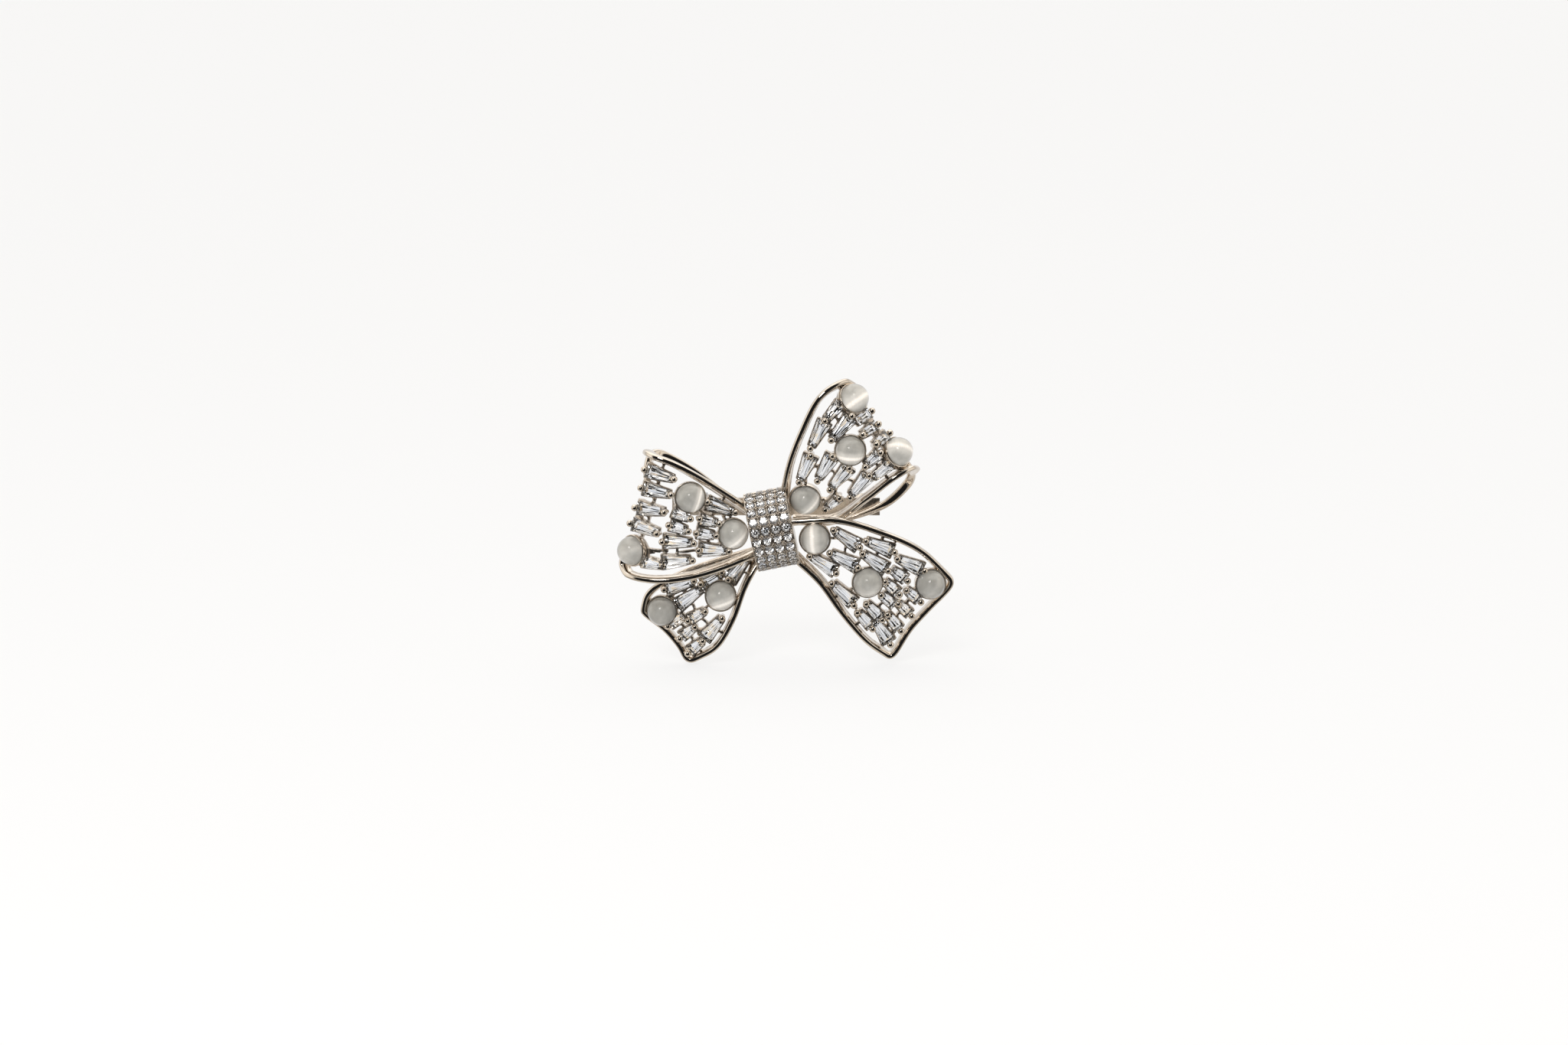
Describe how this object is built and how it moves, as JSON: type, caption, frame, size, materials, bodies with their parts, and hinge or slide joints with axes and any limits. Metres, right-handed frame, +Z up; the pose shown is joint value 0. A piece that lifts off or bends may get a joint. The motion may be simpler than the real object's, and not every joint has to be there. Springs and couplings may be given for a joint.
{
  "type": "ribbon bow brooch",
  "caption": "Openwork ribbon bow brooch set with round cabochons and tapered step-cut stones round a pave knot, on a hinged pin with a turning safety collar.",
  "frame": {"origin": "middle of the pin stem, where the cloth is gathered on it", "axes": "+X along the bow to the right on the front view, +Z up, the front faces -Y and the pin lies behind at +Y"},
  "size_m": [0.0462, 0.014, 0.04],
  "materials": {
    "rhodium_plate": "brass casting, rhodium plated and polished",
    "pin_steel": "drawn spring wire, polished",
    "cats_eye": "milky grey cat's-eye cabochon, polished",
    "zirconia": "clear step-cut cubic zirconia"
  },
  "bodies": {
    "brooch": {"left_loop": "rhodium_plate", "cabochon_left_loop_1": "cats_eye", "cabochon_left_loop_2": "cats_eye", "cabochon_left_loop_3": "cats_eye", "baguette_left_loop_inner_1": "zirconia", "baguette_left_loop_inner_2": "zirconia", "baguette_left_loop_middle_1": "zirconia", "baguette_left_loop_middle_2": "zirconia", "baguette_left_loop_outer_1": "zirconia", "baguette_left_loop_outer_2": "zirconia", "baguette_left_loop_outer_3": "zirconia", "baguette_left_loop_outer_4": "zirconia", "baguette_left_loop_outer_5": "zirconia", "right_loop": "rhodium_plate", "cabochon_right_loop_1": "cats_eye", "cabochon_right_loop_2": "cats_eye", "cabochon_right_loop_3": "cats_eye", "cabochon_right_loop_4": "cats_eye", "baguette_right_loop_inner_1": "zirconia", "baguette_right_loop_inner_2": "zirconia", "baguette_right_loop_inner_3": "zirconia", "baguette_right_loop_inner_4": "zirconia", "baguette_right_loop_middle_1": "zirconia", "baguette_right_loop_middle_2": "zirconia", "baguette_right_loop_middle_3": "zirconia", "baguette_right_loop_outer_1": "zirconia", "left_tail": "rhodium_plate", "cabochon_left_tail_1": "cats_eye", "cabochon_left_tail_2": "cats_eye", "baguette_left_tail_inner_1": "zirconia", "baguette_left_tail_inner_2": "zirconia", "baguette_left_tail_middle_1": "zirconia", "baguette_left_tail_middle_2": "zirconia", "baguette_left_tail_outer_1": "zirconia", "right_tail": "rhodium_plate", "cabochon_right_tail_1": "cats_eye", "cabochon_right_tail_2": "cats_eye", "cabochon_right_tail_3": "cats_eye", "baguette_right_tail_inner_1": "zirconia", "baguette_right_tail_inner_2": "zirconia", "baguette_right_tail_inner_3": "zirconia", "baguette_right_tail_inner_4": "zirconia", "baguette_right_tail_middle_1": "zirconia", "baguette_right_tail_middle_2": "zirconia", "baguette_right_tail_middle_3": "zirconia", "baguette_right_tail_middle_4": "zirconia", "baguette_right_tail_outer_1": "zirconia", "baguette_right_tail_outer_2": "zirconia", "baguette_right_tail_outer_3": "zirconia", "left_loop_return": "rhodium_plate", "right_loop_return": "rhodium_plate", "knot_band": "rhodium_plate", "knot_core": "rhodium_plate", "pin_bar": "rhodium_plate", "pin_hinge_block": "rhodium_plate", "pin_hinge_rivet": "pin_steel", "catch_body": "rhodium_plate"},
    "pin_stem": {"pin_stem": "pin_steel"},
    "safety_collar": {"safety_collar": "rhodium_plate"}
  },
  "joints": [
    {"name": "pin_stem_hinge", "type": "hinge", "parent": "brooch", "child": "pin_stem", "pos_m": [-0.0114, 0, 0], "axis": [0, 0, 1], "range_deg": [0, 75]},
    {"name": "safety_collar_turn", "type": "hinge", "parent": "brooch", "child": "safety_collar", "pos_m": [0.011, 0, 0], "axis": [1, 0, 0], "range_deg": [0, 100]}
  ]
}
